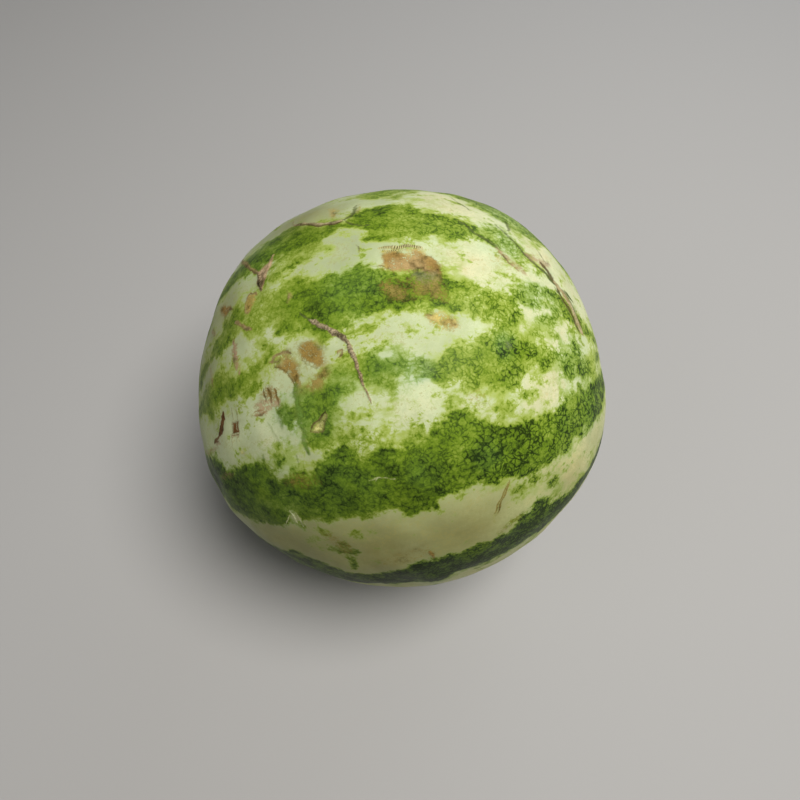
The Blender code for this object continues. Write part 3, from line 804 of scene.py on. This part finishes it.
def refined_sphere():
    """Unit vectors and triangles of a sphere, finer where a line or an end is."""
    bm = icosphere(SKIN_LEVEL)
    for reach in REFINED_REACHES:
        near = near_marks(unit_vectors(bm), reach)
        bm.verts.index_update()
        bm.edges.index_update()
        edges = {e for f in bm.faces if any(near[v.index] for v in f.verts) for e in f.edges}
        bmesh.ops.subdivide_edges(bm, edges=sorted(edges, key=lambda e: e.index), cuts=1, use_grid_fill=True)
        bmesh.ops.triangulate(bm, faces=[f for f in bm.faces if len(f.verts) > 3])
    bm.verts.index_update()
    towards = unit_vectors(bm)
    faces = [[v.index for v in f.verts] for f in bm.faces]
    bm.free()
    return towards, faces


def skin_fields(towards, marks):
    """All that the material reads from the mesh: one value or colour for each unit vector."""
    along, _ = angles(towards)
    return {
        **stripe_fields(towards),
        **marks.fields(),
        "ground": ground_field(towards),
        "cream": placed(towards, 0.35 + 0.4 * smooth_step(along, 60, 130), CREAM_PLACES),
        "mottle": placed(towards, 0.08, MOTTLE_PLACES),
        # bluish green, partly the rind's own and partly a painted sheen
        "bluish_and_sheen": placed(towards, 0.12, BLUISH_AND_SHEEN_PLACES),
        # painted shade, from 0 to 1
        "painted_shade": placed(towards, 0.0, PAINTED_SHADE_PLACES, 2),
        "golden": placed(towards, 0.12, GOLDEN_PLACES, 2),
        "contrast": placed(towards, 0.55 + 0.95 * smooth_step(along, 82, 130), CONTRAST_PLACES),
    }


def add_field(mesh, name, values):
    kind, slot = ("FLOAT", "value") if values.ndim == 1 else ("FLOAT_COLOR", "color")
    layer = mesh.attributes.new(name, kind, "POINT")
    layer.data.foreach_set(slot, values.astype(np.float32).ravel())


def make_skin():
    towards, faces = refined_sphere()
    marks = Marks(towards)
    points = to_part(skin_points(towards) + towards * (undulation(towards) + marks.height)[:, None])
    points[:, 2] = np.maximum(points[:, 2], 0)
    mesh = bpy.data.meshes.new("skin")
    mesh.from_pydata(points.tolist(), [], faces)
    mesh.shade_smooth()
    for name, values in skin_fields(towards, marks).items():
        add_field(mesh, name, values)
    mesh.materials.append(rind_material())
    skin = bpy.data.objects.new("skin", mesh)
    bpy.context.scene.collection.objects.link(skin)
    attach(skin, "root")
    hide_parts("watermelon")


# ---------------------------------------------------------------- the rind's material
DRAWN_OUT = (0.55, 1, 1)  # a noise's frequency along the fruit's axis and across it, as shares


class Graph:
    """Short names for shader nodes, and the noises that all parts of the rind's looks share."""

    def __init__(self, material):
        material.use_nodes = True
        self.tree = material.node_tree
        self.shader = self.tree.nodes["Principled BSDF"]
        self.places = self.node("ShaderNodeTexCoord").outputs["Object"]
        self.swept = self.along_the_fruit()
        self.broad = self.noise(32, 3)
        self.patchy = self.noise(75, 3)
        self.mid = self.noise(170, 4, 0.6)
        self.fine = self.noise(560, 3, 0.6)
        self.tiny = self.noise(1500, 2, 0.6)
        self.streaks = self.noise(190, 4, 0.62, self.swept)
        self.wisps = self.noise(95, 4, 0.62, self.swept)

    def node(self, kind, inputs=(), **settings):
        node = self.tree.nodes.new(kind)
        for name, value in settings.items():
            setattr(node, name, value)
        for name, value in dict(inputs).items():
            self.set(node.inputs[name], value)
        return node

    def set(self, socket, value):
        if isinstance(value, bpy.types.NodeSocket):
            self.tree.links.new(value, socket)
        elif isinstance(value, tuple) and len(value) == 3 and socket.type == "RGBA":
            socket.default_value = (*value, 1)
        else:
            socket.default_value = value

    def vector(self, operation, inputs):
        return self.node("ShaderNodeVectorMath", inputs, operation=operation).outputs[0]

    def along_the_fruit(self):
        """Places in which a noise is drawn out along the fruit's axis."""
        tilt = {"Vector": self.places, "Angle": math.radians(AXIS_TILT)}
        tilted = self.node("ShaderNodeVectorRotate", tilt, rotation_type="Y_AXIS").outputs[0]
        return self.vector("MULTIPLY", {0: tilted, 1: DRAWN_OUT})

    def warped(self, scale, reach, start):
        """Places pushed about by a noise, by up to about half the reach in metres."""
        push = self.vector("SUBTRACT", {0: self.noise(scale, 2.0, 0.5, output="Color"), 1: (0.5, 0.5, 0.5)})
        return self.vector("ADD", {0: start, 1: self.vector("SCALE", {0: push, "Scale": reach})})

    def field(self, name, output="Fac"):
        """A field of the mesh."""
        return self.node("ShaderNodeAttribute", attribute_name=name).outputs[output]

    def noise(self, scale, detail, roughness=0.55, places=None, output="Fac"):
        inputs = {"Vector": places or self.places, "Scale": scale, "Detail": detail, "Roughness": roughness}
        return self.node("ShaderNodeTexNoise", inputs).outputs[output]

    def cells(self, scale, places, feature="F1"):
        inputs = {"Vector": places, "Scale": scale}
        return self.node("ShaderNodeTexVoronoi", inputs, feature=feature).outputs["Distance"]

    def chain(self, operation, values):
        """The first value, with each other one added to it or multiplied by it in turn."""
        result = values[0]
        for value in values[1:]:
            result = self.node("ShaderNodeMath", {0: result, 1: value}, operation=operation).outputs[0]
        return result

    def sum(self, *values):
        return self.chain("ADD", values)

    def times(self, *values):
        return self.chain("MULTIPLY", values)

    def span(self, value, low, high, to_low=0.0, to_high=1.0, kind="SMOOTHSTEP"):
        """A value taken from one range to another, and held within it."""
        inputs = {"Value": value, "From Min": low, "From Max": high, "To Min": to_low, "To Max": to_high}
        return self.node("ShaderNodeMapRange", inputs, interpolation_type=kind).outputs["Result"]

    def line(self, value, *ranges):
        return self.span(value, *ranges, kind="LINEAR")

    def swings(self, *pairs):
        """Noises of 0 to 1, each made to swing by its height either way, and added up."""
        return self.sum(*(self.line(noise, 0.0, 1.0, -2 * height, 2 * height) for noise, height in pairs))

    def mix(self, share, a, b, blend="MIX"):
        node = self.node("ShaderNodeMix", data_type="RGBA", blend_type=blend)
        for socket, value in zip((node.inputs[0], node.inputs[6], node.inputs[7]), (share, a, b)):
            self.set(socket, value)
        return node.outputs[2]

    def tinted(self, share, colour, tint):
        return self.mix(share, colour, tint, "MULTIPLY")

    def ramp(self, value, stops):
        node = self.node("ShaderNodeValToRGB", {"Fac": value})
        elements = node.color_ramp.elements
        elements[0].color = (*stops[0][1], 1)
        elements[1].color = (*stops[-1][1], 1)
        for position, colour in stops[1:-1]:
            elements.new(position).color = (*colour, 1)
        return node.outputs["Color"]


# The skin's colours: by how much green is in it, from a trace to bottle green, and by how creamy it is.
GREENS = (
    (0.0, (0.50, 0.57, 0.22)),
    (0.22, (0.370, 0.450, 0.090)),
    (0.42, (0.245, 0.325, 0.035)),
    (0.62, (0.145, 0.232, 0.013)),
    (0.82, (0.070, 0.121, 0.010)),
    (1.0, (0.022, 0.039, 0.005)),
)
PALES = (
    (0.0, (0.37, 0.42, 0.26)),
    (0.35, (0.47, 0.53, 0.305)),
    (0.65, (0.60, 0.67, 0.42)),
    (1.0, (0.71, 0.69, 0.44)),
)
# What lies on the bare skin, and the two colours of the yellow spot and its specks.
OCHRE = (0.56, 0.46, 0.17)
SPECK = (0.36, 0.43, 0.22)
FRECKLE = (0.33, 0.31, 0.11)
# Painted shade: the dark olive that the pale skin turns towards where the light falls off.
PAINTED_SHADE_COLOUR = (0.240, 0.238, 0.095)
GROUND_COLOURS = ((0.70, 0.62, 0.31), (0.58, 0.48, 0.19))
GROUND_SPECK = (0.42, 0.36, 0.14)
# Tints that multiply a colour. Where there are two, a noise or a field goes from the first to the second.
GOLDEN_TINT = (1.02, 0.93, 0.66)
# Bluish tint of the greens: mostly their own colour, in two places a painted sheen.
BLUISH_AND_SHEEN_TINT = (0.86, 0.98, 2.5)
# Painted shade: the greens are multiplied by this where the light falls off.
PAINTED_SHADE_TINT = (0.52, 0.50, 0.48)
WORN_TINTS = ((0.86, 0.84, 0.80), (1.12, 1.12, 1.14))
EDGE_TINTS = ((0.84, 0.76, 0.60), (1.06, 1.06, 1.08))
# Painted shade in the furrows between the cork's beads and painted highlight on their tops.
BEAD_SHADE_AND_HIGHLIGHT_TINTS = ((0.56, 0.56, 0.52), (1.28, 1.25, 1.22))
STITCH_TINTS = ((1.0, 1.0, 1.0), (0.22, 0.22, 0.16))
STITCH_STEP = 0.84  # millimetres from one dash of the stitched scar to the next
SPECULAR = 0.055
BUMP_DISTANCE = 0.00012  # metres


def net_lines(g):
    """Dark lines between lighter cells, broken up so that they come and go."""
    lines = g.span(g.cells(420, g.warped(260, 0.0050, g.places), "DISTANCE_TO_EDGE"), 0.0, 0.22, 1.0, 0.0)
    return g.times(lines, g.span(g.sum(g.mid, g.swings((g.fine, 0.12))), 0.34, 0.56, 0.25, 1.0))


def long_veins(g):
    veins = g.span(g.cells(170, g.warped(110, 0.009, g.swept), "DISTANCE_TO_EDGE"), 0.0, 0.10, 1.0, 0.0)
    return g.times(veins, g.span(g.patchy, 0.38, 0.62))


def stripe_presence(g):
    """Where the stripes are, with ragged edges, and their depth in degrees as those edges leave it."""
    ragged = g.swings((g.patchy, 0.8), (g.mid, 1.1), (g.fine, 0.55), (g.streaks, 0.7))
    depth = g.sum(g.field("stripe"), ragged)
    return g.span(depth, -0.9, 0.9), depth


def stripe_tone(g, lines, base, depth):
    """How green the stripes are: a soft run-out, and the shade with net, grain and veins in it."""
    soft = g.span(g.sum(g.field("stripe"), g.swings((g.wisps, 2.2), (g.streaks, 1.2))), -3.2, 0.6)
    # the run-out is weaker where painted shade is
    soft = g.times(soft, g.span(g.field("painted_shade"), 0.0, 0.7, 1.0, 0.25))
    grains = g.span(g.cells(1050, g.warped(600, 0.0016, g.places)), 0.1, 0.7)
    net = g.times(g.sum(g.times(lines, 0.26), g.times(grains, 0.07), -0.10), g.field("contrast"))
    cloudy = g.swings((g.fine, 0.11), (g.mid, 0.08), (g.tiny, 0.07), (g.streaks, 0.12), (g.wisps, 0.12))
    core = g.span(depth, 0.5, 4.0, -0.04, 0.02)
    full = g.sum(g.field("shade"), net, cloudy, g.times(long_veins(g), 0.12), core)
    return g.sum(g.times(base, g.sum(full, -0.20)), g.times(soft, 0.20))


def traces_of_green(g, lines):
    """Haze, lime mottling and veins on the bare skin."""
    near = g.span(g.field("stripe"), -6.5, -0.5)
    haze = g.span(g.sum(g.wisps, g.swings((g.mid, 0.2))), 0.44, 0.74, 0.0, 0.10)
    veins = g.times(lines, near, g.span(g.mid, 0.35, 0.6, 0.0, 0.14))
    flecks = g.swings((g.noise(150, 5, 0.66, g.swept), 1.1), (g.fine, 0.34), (g.mid, 0.3))
    flecks = g.sum(flecks, g.line(g.field("mottle"), -1.0, 1.0, -1.62, 0.30))
    mottling = g.span(flecks, -0.42, 0.55, 0.0, 0.34)
    netted = g.times(g.span(flecks, -0.25, 0.2), lines, 0.14)
    # fewer traces of green where painted shade is
    return g.times(g.sum(haze, veins, mottling, netted), g.span(g.field("painted_shade"), 0.2, 0.7, 1.0, 0.45))


def bare_skin(g, specks):
    """The pale skin between the stripes: creamy, speckled and freckled, golden low on the sides, and darker
    with painted shade where the light falls off.
    """
    cream = g.sum(g.field("cream"), g.swings((g.broad, 0.20), (g.patchy, 0.12)))
    ochre = g.times(g.span(g.noise(190, 4, 0.6), 0.55, 0.72), g.span(cream, 0.5, 1.0, 0.0, 0.38))
    pale = g.mix(ochre, g.ramp(cream, PALES), OCHRE)
    speckled = g.times(g.span(specks, -0.25, 0.30, 0.30, 0.0), g.line(g.field("golden"), 0.0, 1.0, 1.0, 1.9))
    pale = g.mix(speckled, pale, SPECK)
    # painted shade: the pale skin turns dark olive where the light falls off
    pale = g.mix(g.sum(g.field("painted_shade"), g.swings((g.mid, 0.10))), pale, PAINTED_SHADE_COLOUR)
    freckles = g.span(g.swings((g.tiny, 0.5), (g.fine, 0.5), (g.wisps, 0.5)), 0.10, 0.42, 0.0, 0.45)
    pale = g.mix(freckles, pale, FRECKLE)
    return g.tinted(g.field("golden"), pale, GOLDEN_TINT)


def green_skin(g, tone):
    # bluish green, with a painted sheen in two places
    bluish_and_sheen = g.times(g.field("bluish_and_sheen"), g.span(g.patchy, 0.3, 0.6, 0.4, 1.0))
    greens = g.tinted(bluish_and_sheen, g.ramp(tone, GREENS), BLUISH_AND_SHEEN_TINT)
    # painted shade: the greens are darker where the light falls off
    return g.tinted(g.field("painted_shade"), greens, PAINTED_SHADE_TINT)


def with_ground_spot(g, skin, specks):
    """The yellow spot where the fruit lay, with the stripes still faint in it."""
    worn_off = g.swings((g.patchy, 0.28), (g.mid, 0.26), (g.fine, 0.14), (g.wisps, 0.3))
    ground = g.span(g.sum(g.field("ground"), worn_off), 0.12, 0.85)
    ground = g.times(ground, g.span(g.field("ground"), 0.0, 0.3), 0.86)
    yellow = g.mix(g.span(g.sum(g.mid, g.swings((g.fine, 0.3))), 0.3, 0.7), *GROUND_COLOURS)
    yellow = g.mix(g.span(specks, 0.0, 0.25, 0.0, 0.5), yellow, GROUND_SPECK)
    return g.mix(ground, skin, yellow)


def with_marks(g, skin):
    """Corky scars and stains: worn in places, darker and more orange at their edges, with beads that carry
    painted shade in their furrows and painted highlight on their tops, or dashed.
    """
    solid = g.field("mark", "Alpha")
    broken = g.sum(solid, g.swings((g.mid, 0.30), (g.fine, 0.22), (g.tiny, 0.12)))
    grain = g.times(g.swings((g.fine, 0.35), (g.tiny, 0.65)), g.field("grain"))
    amount = g.times(g.span(g.sum(broken, grain), 0.08, 0.72), g.line(solid, 0.0, 0.8))
    rough_bead = g.sum(g.field("bead"), g.times(g.swings((g.fine, 0.35)), g.field("cork")))
    turns = g.times(g.field("run"), 2 * math.pi / STITCH_STEP)
    wave = g.node("ShaderNodeMath", {0: turns}, operation="SINE").outputs[0]
    tints = (
        g.mix(g.span(g.sum(g.fine, g.swings((g.tiny, 0.3))), 0.3, 0.7), *WORN_TINTS),
        g.mix(g.span(broken, 0.35, 0.95), *EDGE_TINTS),
        # painted shade and highlight of the cork's beads
        g.mix(rough_bead, *BEAD_SHADE_AND_HIGHLIGHT_TINTS),
        g.mix(g.span(g.sum(wave, g.swings((g.mid, 1.0))), -0.1, 0.9), *STITCH_TINTS),
    )
    marked = g.field("mark", "Color")
    for tint in tints:
        marked = g.tinted(1.0, marked, tint)
    return g.mix(amount, skin, marked)


def set_surface(g, lines, base):
    """A low sheen and a faint relief, both rougher on cork."""
    cork = g.field("cork")
    g.set(g.shader.inputs["Roughness"], g.sum(g.line(g.mid, 0.2, 0.8, 0.34, 0.46), g.times(cork, 0.36)))
    g.set(g.shader.inputs["Specular IOR Level"], SPECULAR)
    height = g.sum(g.times(g.fine, 0.5), g.times(base, lines, -0.7), g.times(cork, g.tiny, 3.0))
    bump = g.node("ShaderNodeBump", {"Height": height, "Strength": 0.5, "Distance": BUMP_DISTANCE})
    g.set(g.shader.inputs["Normal"], bump.outputs["Normal"])


def rind_material():
    material = bpy.data.materials.new("rind")
    g = Graph(material)
    lines = net_lines(g)
    base, depth = stripe_presence(g)
    traces = g.times(traces_of_green(g, lines), g.line(base, 0.0, 1.0, 1.0, 0.0))
    tone = g.sum(stripe_tone(g, lines, base, depth), traces)
    specks = g.swings((g.tiny, 0.30), (g.fine, 0.35), (g.streaks, 0.30))
    skin = g.mix(g.span(tone, 0.0, 0.24), bare_skin(g, specks), green_skin(g, tone))
    g.set(g.shader.inputs["Base Color"], with_marks(g, with_ground_spot(g, skin, specks)))
    set_surface(g, lines, base)
    return material


# ---------------------------------------------------------------- camera, light and floor
# Lights: name, where it stands as seen from the fruit, distance and diameter in metres, watts, and colour.
LIGHTS = (
    ("key", (0.31, -0.12, 0.93), 1.3, 0.75, 20.0, (1.0, 0.985, 0.95)),
    ("fill", (-0.85, -0.30, 0.60), 1.3, 0.9, 1.5, (1.0, 0.99, 0.96)),
    ("sky", (0.55, 0.75, 0.45), 1.4, 1.0, 3.2, (0.84, 0.92, 1.0)),
)
LIGHT_AIM = (0, 0, 0.1)
AMBIENT_COLOUR = (0.93, 0.96, 1.0, 1)
AMBIENT_STRENGTH = 0.07
FLOOR_COLOUR = (0.42, 0.41, 0.40, 1)
FLOOR_ROUGHNESS = 0.9


def make_camera():
    """A camera at the photo's angle and distance, in the fruit's own measures."""
    heading = math.radians(-9.0)
    elevation = math.radians(62.4)
    roll = math.radians(2.2)
    to_right, to_below, ahead = 0.0098, -0.0596, 3.1749  # girth radii, from the camera to the fruit's middle
    right = Vector((1, 0, 0))
    down = Vector((0, -math.sin(elevation), -math.cos(elevation)))
    forward = Vector((0, math.cos(elevation), -math.sin(elevation)))
    image_right = math.cos(roll) * right - math.sin(roll) * down
    image_down = math.sin(roll) * right + math.cos(roll) * down
    turn = Matrix.Rotation(heading, 3, "Z")
    away = GIRTH_RADIUS * (to_right * image_right + to_below * image_down + ahead * forward)
    camera = bpy.data.objects.new("camera", bpy.data.cameras.new("camera"))
    camera.data.lens = 27.0
    camera.data.sensor_width = 36.0
    camera.data.clip_start = 0.01
    axes = Matrix((turn @ image_right, turn @ -image_down, turn @ -forward)).transposed()
    camera.matrix_world = Matrix.Translation(Vector(-ORIGIN) - turn @ away) @ axes.to_4x4()
    bpy.context.scene.collection.objects.link(camera)
    bpy.context.scene.camera = camera


def make_floor():
    bm = bmesh.new()
    bmesh.ops.create_grid(bm, x_segments=1, y_segments=1, size=3.0)
    mesh = bpy.data.meshes.new("floor")
    bm.to_mesh(mesh)
    bm.free()
    floor = bpy.data.objects.new("floor", mesh)
    material = bpy.data.materials.new("floor")
    material.use_nodes = True
    shader = material.node_tree.nodes["Principled BSDF"]
    shader.inputs["Base Color"].default_value = FLOOR_COLOUR
    shader.inputs["Roughness"].default_value = FLOOR_ROUGHNESS
    mesh.materials.append(material)
    bpy.context.scene.collection.objects.link(floor)


def add_light(name, towards, distance, size, power, colour):
    """A round soft light that shines at the fruit."""
    data = bpy.data.lights.new(name, "AREA")
    data.shape = "DISK"
    data.size = size
    data.energy = power
    data.color = colour
    light = bpy.data.objects.new(name, data)
    aim = Vector(towards).normalized()
    light.location = Vector(LIGHT_AIM) + aim * distance
    light.rotation_euler = aim.to_track_quat("Z", "Y").to_euler()
    bpy.context.scene.collection.objects.link(light)


def make_light():
    for light in LIGHTS:
        add_light(*light)
    world = bpy.data.worlds.new("world")
    world.use_nodes = True
    world.node_tree.nodes["Background"].inputs["Color"].default_value = AMBIENT_COLOUR
    world.node_tree.nodes["Background"].inputs["Strength"].default_value = AMBIENT_STRENGTH
    bpy.context.scene.world = world
    bpy.context.scene.view_settings.view_transform = "Standard"


make_camera()
make_floor()
make_light()
make_skin()
